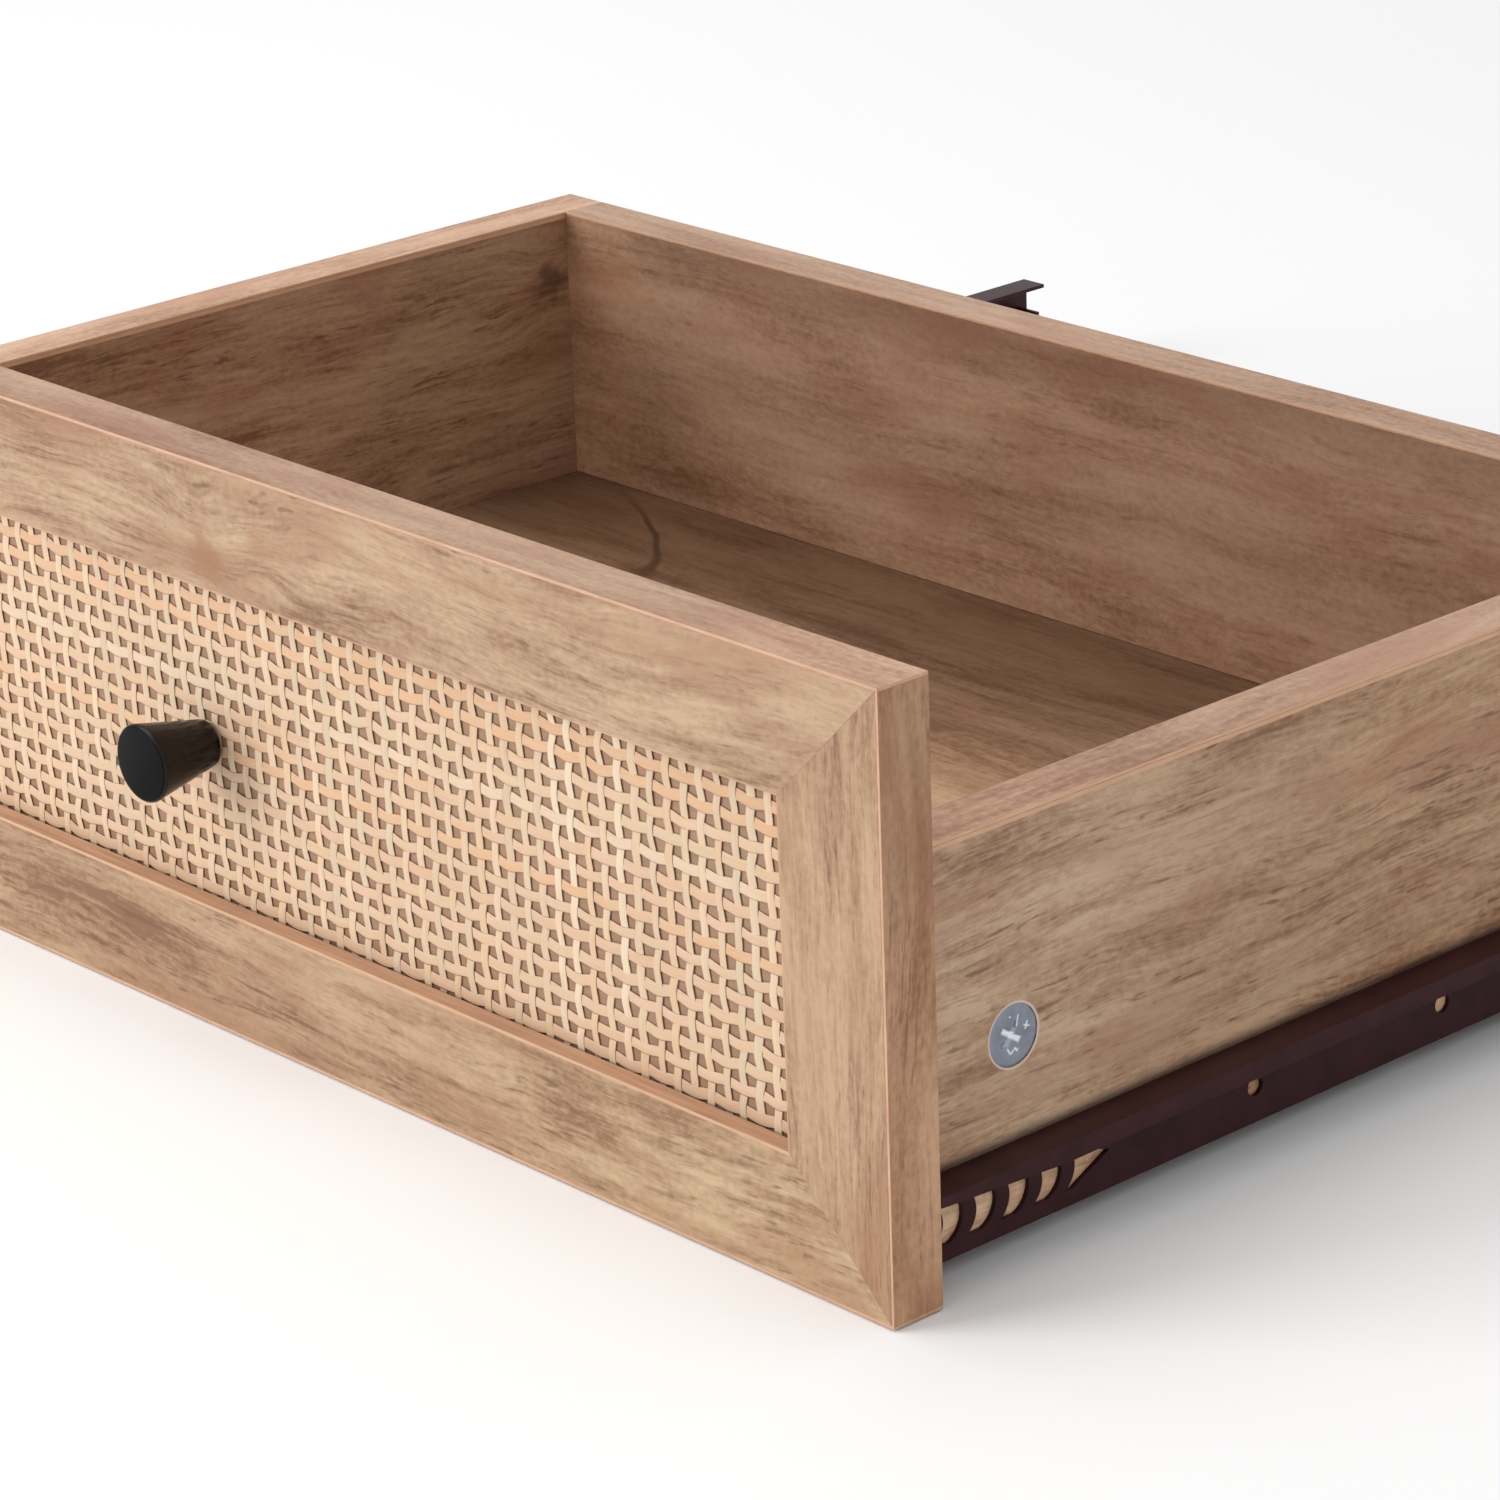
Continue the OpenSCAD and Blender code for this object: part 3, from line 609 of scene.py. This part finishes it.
for name, order, seed, rim, looks in (
    ("front_top", "xzy", 1.0, ("z", rail_under, 0.5, 0.5, "cut"), {
        "shade": FRONT,
        "knots": (
            (*on_grain(1.0, 0.012, rail_under + 0.009), 7.0, 0.75, tone(178, 130, 98)),
            (*on_grain(1.0, 0.034, rail_under + 0.016), 5.0, 0.6, tone(186, 140, 106)),
        ),
    }),
    ("front_bottom", "xzy", 13.0, ("z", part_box("front_bottom_rail")[1].z, 0.8, 0.95, "cut"), {
        "shade": FRONT, "fade": low_rail_gradient,
    }),
    ("front_left", "zxy", 3.0, ("x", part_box("front_left_stile")[1].x, 0.5, 0.5, "cut"), {
        "shade": FRONT,
    }),
    ("front_right", "zxy", 4.0, ("x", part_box("front_right_stile")[0].x, 0.5, 0.5, "cut"), {
        "shade": RIGHT_STILE,
    }),
):
    part = name + ("_rail" if order == "xzy" else "_stile")
    wear(laminate(name + "_wood", order, "y", seed, "warm", rim, **looks), part)
    soften(0.14, part)

cam_low, cam_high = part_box("cam_locks")
cam_mid = mid("cam_locks")
cam_radius = (cam_high.z - cam_low.z) / 2
sides = {
    "rim": ("z", side_high.z, 1.1, 0.95, "bright"),
    "ring": (cam_mid.y + RING_SHIFT * MM, cam_mid.z, cam_radius, 0.75, side_high.x),
    "shade": SIDE,
    # painted shade on the inside faces of the sides
    "inside": ("x", side_low.x + 2.0 * MM, side_low.x + 3.0 * MM, IN_SIDE_PAINTED_SHADE),
}
side_knot = (*on_grain(5.0, side_high.y - 0.0225, side_high.z - 0.0205), 7.0, 0.7, tone(92, 60, 44))
wear(
    laminate("left_side_wood", "yzx", "x", 5.0, fade=painted_light_and_shade_near_runner, ticks=1.1, knots=(side_knot,), **sides),
    "left_side_panel",
)
wear(
    laminate("right_side_wood", "yzx", "x", 6.0, fade=painted_light_and_shade_near_runner + painted_light_and_shade_right_side, ticks=1.25, **sides),
    "right_side_panel",
)
# painted shade on the inside face of the back
back_inside_painted_shade = ("y", back_face + 2.0 * MM, back_face + 3.0 * MM, IN_BACK_PAINTED_SHADE)
wear(
    laminate("back_wood", "xzy", "y", 7.0, shade=SIDE, inside=back_inside_painted_shade, fade_in=painted_light_and_shade_in_back, **BACK),
    "back_panel",
)
growth_loop = (*on_grain(8.0, -0.172, 0.066), 47, 10, -0.55, 0.85)
wear(
    laminate("bottom_wood", "xyz", "z", 8.0, fade=painted_shade_to_the_back, loop=growth_loop, **BOTTOM),
    "bottom_panel",
)
soften(0.2, "left_side_panel", "right_side_panel", "back_panel", "bottom_panel", "front_backing_panel")

for name, order, face, seed, edge, shade, fade, looks, parts in (
    ("front_edge", "xyz", "z", 9.0, "peach", TOP_EDGE, top_edge_lighter_at_right, EDGES, ("front_top", "front_bottom")),
    ("front_end", "zyx", "x", 10.0, "peach", END_EDGE, end_darker_at_top, ENDS, ("front_left", "front_right")),
    ("left_edge", "yxz", "z", 11.0, "bright", SIDE_TOP, (), EDGES, ("left_side",)),
    ("right_edge", "yxz", "z", 11.0, "bright", SIDE_TOP, painted_light_and_shade_right_edge, EDGES, ("right_side",)),
    ("back_edge", "xyz", "z", 12.0, "peach", TOP_EDGE, (), EDGES, ("back",)),
):
    bands = [part + "_band" for part in parts]
    wear(laminate(name + "_wood", order, face, seed, edge, shade=shade, fade=fade, **looks), *bands)
    soften(0.16, *bands)

RUNNERS = ("drawer_runner_left", "drawer_runner_right", "desk_runner_left", "desk_runner_right")
wear(coated_steel(), *RUNNERS)
soften(0.4, *RUNNERS)
wear(black_paint(), "knob")
soften(0.4, "knob")
wear(hardboard(), "front_backing_panel")
wear(
    plated("zinc_plate", tone(178, 180, 184), tone(206, 208, 212), 0.28),
    "knob_washer", "knob_screw", "back_screws", "runner_screws_left", "runner_screws_right",
)
wear(
    plated("axle_plate", tone(168, 168, 172), tone(198, 198, 202), 0.3),
    "rear_axle_left", "rear_axle_right", "front_axle_left", "front_axle_right",
)
wear(plated("cast_zinc", tone(132, 141, 154), tone(158, 167, 179), 0.34), "cam_locks", "cam_bolts")
# the cam's face, painted bright in its cross and marks as wear and painted highlight
cam_face = plated("cam_zinc", tone(128, 136, 148), tone(152, 160, 172), 0.34, wear_and_highlight="wear_and_highlight")
wear(nylon(), "rear_roller_left", "rear_roller_right", "front_roller_left", "front_roller_right")
wear(beech(), "front_dowels")

# ---- woven cane ----

UPRIGHT_PITCH = 5.56 * MM
CROSS_PITCH = 5.44 * MM
UPRIGHT_WIDTH = 2.7 * MM
CROSS_WIDTH = 2.95 * MM
STRAND_THICK = 0.14 * MM
WEAVE_SWING = 0.045 * MM
WEAVE_DEPTH = 0.2 * MM  # of the weave's middle, behind the front of the CAD sheet
END_GAP = 0.3 * MM  # between a strand's end and the edge of the CAD sheet
STEPS = 5  # rings of a strand from one crossing to the next
STRAND_SIDES = 8
STRAND_SQUARENESS = 0.75
STRAND_BRIGHTNESS = (0.95, 1.04)
STRAND_BREADTH = (0.9, 1.08)  # as shares of the set's width
STRAND_TILT = (-0.06, 0.06)
SWELL = 0.07
SWELL_LENGTH = 6 * MM
# how far a strand strays, in mm: over a short way, over a long way, and at each crossing
WOBBLE = 0.65
WOBBLE_LENGTH = 7.5 * MM
DRIFT = 0.4
DRIFT_LENGTH = 31 * MM
ZIGZAG = 0.3
# the strands beside the knob's screw make way for it
KNOB_ROOM = 4.2 * MM
PUSH_REACH = 4 * MM
KNOB_PUSH = 0.75 * MM
UPRIGHT_TONES = (
    (tone(213, 188, 157), 4), (tone(208, 183, 152), 4), (tone(204, 180, 150), 2), (tone(205, 185, 156), 2),
    (tone(207, 177, 145), 2), (tone(221, 200, 172), 1),
)
CROSS_TONES = (
    (tone(207, 177, 146), 5), (tone(205, 172, 142), 5), (tone(210, 177, 148), 3), (tone(203, 176, 145), 2),
    (tone(214, 190, 161), 2), (tone(208, 169, 133), 1),
)


def strand_path(along, own, number, phase, draw, hole, crossing, pitch):
    """One strand's centre offsets at a place along it: sideways and in depth."""
    wave = math.cos(math.pi * (along - crossing) / pitch)
    wander = WOBBLE * noise.noise(Vector((along / WOBBLE_LENGTH, number * 3.7, phase)))
    wander += DRIFT * noise.noise(Vector((along / DRIFT_LENGTH, number * 5.1, phase + 9.0)))
    wander += ZIGZAG * math.copysign(1, draw) * wave
    near = math.exp(-((along - hole[0]) / KNOB_ROOM) ** 2)
    side = wander * MM * (1 - near)
    gap = own - hole[1]
    if abs(gap) < PUSH_REACH:
        side += math.copysign(KNOB_PUSH, gap) * near
    wave = wave * (1.3 - 0.3 * wave * wave)
    return side, draw * WEAVE_SWING * wave


def weave(mesh, shade, rng, upright):
    """One set of strands: the upright ones, or the ones across."""
    low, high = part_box("cane_webbing")
    centre = (low + high) / 2
    reach = high - low
    knob = mid("knob")
    if upright:
        pitch, other, broad, tones = UPRIGHT_PITCH, CROSS_PITCH, UPRIGHT_WIDTH, UPRIGHT_TONES
        span, length, middle, far, hole = reach.x, reach.z, centre.x, centre.z, (knob.z, knob.x)
    else:
        pitch, other, broad, tones = CROSS_PITCH, UPRIGHT_PITCH, CROSS_WIDTH, CROSS_TONES
        span, length, middle, far, hole = reach.z, reach.x, centre.z, centre.x, (knob.x, knob.z)
    slot = 0 if upright else 1
    length -= 2 * END_GAP
    start = far - length / 2
    count = int((span / 2 - broad / 2) / pitch + 0.5)
    rings = int(length / (other / STEPS))
    pool = [colour for colour, weight in tones for _ in range(weight)]
    for number in range(-count, count):
        own = middle + (number + 0.5) * pitch
        colour = Vector(rng.choice(pool))
        lift = rng.uniform(*STRAND_BRIGHTNESS)
        width = broad * rng.uniform(*STRAND_BREADTH)
        turn = rng.uniform(*STRAND_TILT)
        draw = (-1 if number % 2 else 1) * (-1 if upright else 1)
        last = None
        for i in range(rings + 1):
            along = start + length * i / rings
            side, deep = strand_path(
                along, own, number, 1.0 if upright else 40.0, draw, hole, far + other / 2, other
            )
            swell = 1 + SWELL * noise.noise(Vector((along / SWELL_LENGTH, number * 2.3, 70.0)))
            ring = []
            for k in range(STRAND_SIDES):
                angle = 2 * math.pi * k / STRAND_SIDES
                c, d = math.cos(angle), math.sin(angle)
                across = math.copysign(abs(c) ** STRAND_SQUARENESS, c) * width * swell / 2
                through = math.copysign(abs(d) ** STRAND_SQUARENESS, d) * STRAND_THICK / 2 + across * turn
                y = high.y - WEAVE_DEPTH + deep + through
                aside = own + side + across
                vert = mesh.verts.new((aside, y, along) if upright else (along, y, aside))
                vert[shade] = (*[min(1.0, v * lift) for v in colour[:3]], 1.0)
                ring.append(vert)
            if last:
                for k in range(STRAND_SIDES):
                    face = mesh.faces.new((last[k], last[k - 1], ring[k - 1], ring[k]))
                    face.material_index = slot
                    face.smooth = True
            else:
                mesh.faces.new(ring).material_index = slot
            last = ring
        mesh.faces.new(reversed(last)).material_index = slot


def finished(mesh, name, *materials):
    """The object made from a mesh under construction, with its faces turned outwards."""
    bmesh.ops.recalc_face_normals(mesh, faces=mesh.faces)
    data = bpy.data.meshes.new(name)
    mesh.to_mesh(data)
    mesh.free()
    for material in materials:
        data.materials.append(material)
    piece = bpy.data.objects.new(name, data)
    scene.collection.objects.link(piece)
    return piece


def build_cane():
    """Both sets of strands, woven one over, one under, with room for the knob's screw."""
    rng = random.Random(11)
    mesh = bmesh.new()
    shade = mesh.verts.layers.float_color.new("strand_tone")
    weave(mesh, shade, rng, upright=True)
    weave(mesh, shade, rng, upright=False)
    return finished(
        mesh, "cane_weave", cane_finish("cane_upright", "zxy", 1.0), cane_finish("cane_cross", "xzy", 2.0)
    )


cane = build_cane()
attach(cane, "drawer")
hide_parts("cane_webbing")

# ---- cam locks ----

CAM_RINGS = 44
CAM_TURNS = 160
CAM_SHARP_ANGLE = math.radians(32)
# the cam's face in mm: depth of its flat part, and the slope of its rim outside a radius
CAM_RECESS = 0.1
CAM_FLAT_RADIUS = 6.9
CAM_RIM_SLOPE = 0.25
# the screwdriver's cross: centre, half length and half width of a slot, depth, turn, and each slot's
# brightness, as wear and painted highlight
CROSS_AT = (-0.6, 0.2)
CROSS_HALF = (3.4, 0.95)
CROSS_DEPTH = 0.5
CROSS_TURN = -0.6
CROSS_WEAR_AND_HIGHLIGHT = (1.0, 0.25)
# raised marks: their height, then centre, half length and half width, and turn in radians of each
MARK_HEIGHT = 0.1
CAM_MARKS = (
    ((1.3, 3.1), (1.6, 0.26), 1.33), ((-0.9, 4.6), (0.32, 0.32), 0.0), ((4.1, 1.2), (1.1, 0.3), 1.2),
    ((4.2, 1.1), (1.1, 0.28), -0.35), ((-1.5, -3.5), (0.95, 0.32), -1.0), ((-0.4, -4.0), (0.8, 0.32), 0.7),
    ((0.7, -3.6), (0.75, 0.32), -0.9), ((1.2, -3.9), (0.5, 0.3), 0.9),
)
PIT_AT = (-3.1, -1.8)
PIT_RADIUS = 0.8


def bar(u, v, at, half, turn):
    """How deep a point lies inside a turned bar, in mm; below 0 outside."""
    c, d = math.cos(turn), math.sin(turn)
    du, dv = u - at[0], v - at[1]
    return min(half[0] - abs(du * c + dv * d), half[1] - abs(dv * c - du * d))


def cam_relief(u, v):
    """A cam's outer face at a place in mm: its height, and how bright its metal is painted, 0 to 1, as wear
    and painted highlight on the cross and the raised marks.
    """
    height = -CAM_RECESS - CAM_RIM_SLOPE * max(0.0, math.hypot(u, v) - CAM_FLAT_RADIUS)
    wear_and_highlight = 0.0
    for quarter, bright in enumerate(CROSS_WEAR_AND_HIGHLIGHT):
        inside = bar(u, v, CROSS_AT, CROSS_HALF, CROSS_TURN + quarter * math.pi / 2)
        if inside > 0:
            height = min(height, -CAM_RECESS - min(CROSS_DEPTH, 0.9 * inside))
            wear_and_highlight = max(wear_and_highlight, bright * min(1.0, 3.0 * inside))
    for at, half, turn in CAM_MARKS:
        inside = bar(u, v, at, half, turn)
        if inside > 0:
            height = max(height, -CAM_RECESS + min(MARK_HEIGHT, 0.6 * inside))
            wear_and_highlight = max(wear_and_highlight, min(1.0, 5.0 * inside))
    pit = max(0.0, PIT_RADIUS - math.hypot(u - PIT_AT[0], v - PIT_AT[1]))
    return height - 0.9 * pit, wear_and_highlight


def build_cam(name, sign):
    """One cam lock: a marked outer face, a soft rim and the round body inside the side board."""
    face = cam_high.x
    depth = side_high.x - mid("right_side_panel").x
    mesh = bmesh.new()
    # brightness of the cam's face: wear and painted highlight
    bright = mesh.verts.layers.float_color.new("wear_and_highlight")

    def point(u, v):
        height, wear_and_highlight = cam_relief(u / MM, v / MM)
        vert = mesh.verts.new((sign * (face + height * MM), cam_mid.y + u, cam_mid.z + v))
        vert[bright] = (wear_and_highlight, wear_and_highlight, wear_and_highlight, 1.0)
        return vert

    hub = point(0.0, 0.0)
    rings = []
    for i in range(1, CAM_RINGS + 1):
        r = cam_radius * i / CAM_RINGS
        angles = [2 * math.pi * k / CAM_TURNS for k in range(CAM_TURNS)]
        rings.append([point(r * math.cos(a), r * math.sin(a)) for a in angles])
    back = [mesh.verts.new((sign * (face - depth), v.co.y, v.co.z)) for v in rings[-1]]
    rings.append(back)
    for k in range(CAM_TURNS):
        mesh.faces.new((hub, rings[0][k - 1], rings[0][k]))
        for inner, outer in zip(rings, rings[1:]):
            mesh.faces.new((inner[k - 1], outer[k - 1], outer[k], inner[k]))
    mesh.faces.new(back)
    for f in mesh.faces:
        f.smooth = len(f.verts) < 5
    piece = finished(mesh, name, cam_face)
    piece.data.set_sharp_from_angle(angle=CAM_SHARP_ANGLE)
    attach(piece, "drawer")
    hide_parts("cam_locks")


build_cam("cam_lock_left", -1)
build_cam("cam_lock_right", 1)

# ---- floor, light and camera ----

FLOOR_HALF = 12.0
FLOOR_GAP = 0.5 * MM
SKY_STRENGTH = 0.74


def build_floor():
    """A wide pale floor just below the object."""
    mesh = bmesh.new()
    bmesh.ops.create_grid(mesh, x_segments=1, y_segments=1, size=FLOOR_HALF)
    s = Shader("studio_floor_paint")
    paint = s.mottle(s.noise(s.place(), 900, 900, 1.0), grey(0.9), grey(0.93))
    floor = finished(mesh, "studio_floor", s.set(Base_Color=paint, Roughness=0.9, Specular_IOR_Level=0.1))
    floor.location = (0, 0, cad_low.z - FLOOR_GAP)


build_floor()

world = bpy.data.worlds.new("studio")
world.use_nodes = True
backdrop = world.node_tree.nodes["Background"]
backdrop.inputs["Color"].default_value = PLAIN
backdrop.inputs["Strength"].default_value = SKY_STRENGTH
scene.world = world


def soft_light(name, towards, distance, size, power):
    """A square soft light that shines on the object from the given direction."""
    lamp = bpy.data.lights.new(name, "AREA")
    lamp.size = size
    lamp.energy = power
    made = bpy.data.objects.new(name, lamp)
    from_object = Vector(towards).normalized()
    made.location = (cad_low + cad_high) / 2 + from_object * distance
    made.rotation_euler = from_object.to_track_quat("Z", "Y").to_euler()
    scene.collection.objects.link(made)


soft_light("key_light", (-0.5, -0.9, 0.36), 2.4, 1.3, 34.0)
soft_light("top_light", (-0.3, -0.2, 1.0), 2.4, 1.6, 14.0)

CAMERA_AZIMUTH = math.radians(48.13)
CAMERA_ELEVATION = math.radians(20.74)
CAMERA_ROLL = math.radians(-2.06)
CAMERA_FROM_CORNER = Vector((0.7871, -0.7416, 0.3968))  # from the front's upper right corner, in metres
FOCAL_LENGTH = 132.7  # in mm, for a sensor 36 mm wide
back = Vector((
    math.sin(CAMERA_AZIMUTH) * math.cos(CAMERA_ELEVATION),
    -math.cos(CAMERA_AZIMUTH) * math.cos(CAMERA_ELEVATION),
    math.sin(CAMERA_ELEVATION),
))
right = Vector((math.cos(CAMERA_AZIMUTH), math.sin(CAMERA_AZIMUTH), 0))
tilted = right * math.cos(CAMERA_ROLL) + back.cross(right) * math.sin(CAMERA_ROLL)
lens = bpy.data.cameras.new("camera")
lens.lens = FOCAL_LENGTH
lens.sensor_width = 36.0
camera = bpy.data.objects.new("camera", lens)
corner = Vector((front_high.x, front_low.y, front_high.z))
turned = Matrix((tilted, back.cross(tilted), back)).transposed()
camera.matrix_world = Matrix.Translation(corner + CAMERA_FROM_CORNER) @ turned.to_4x4()
scene.collection.objects.link(camera)
scene.camera = camera
scene.view_settings.view_transform = "Standard"
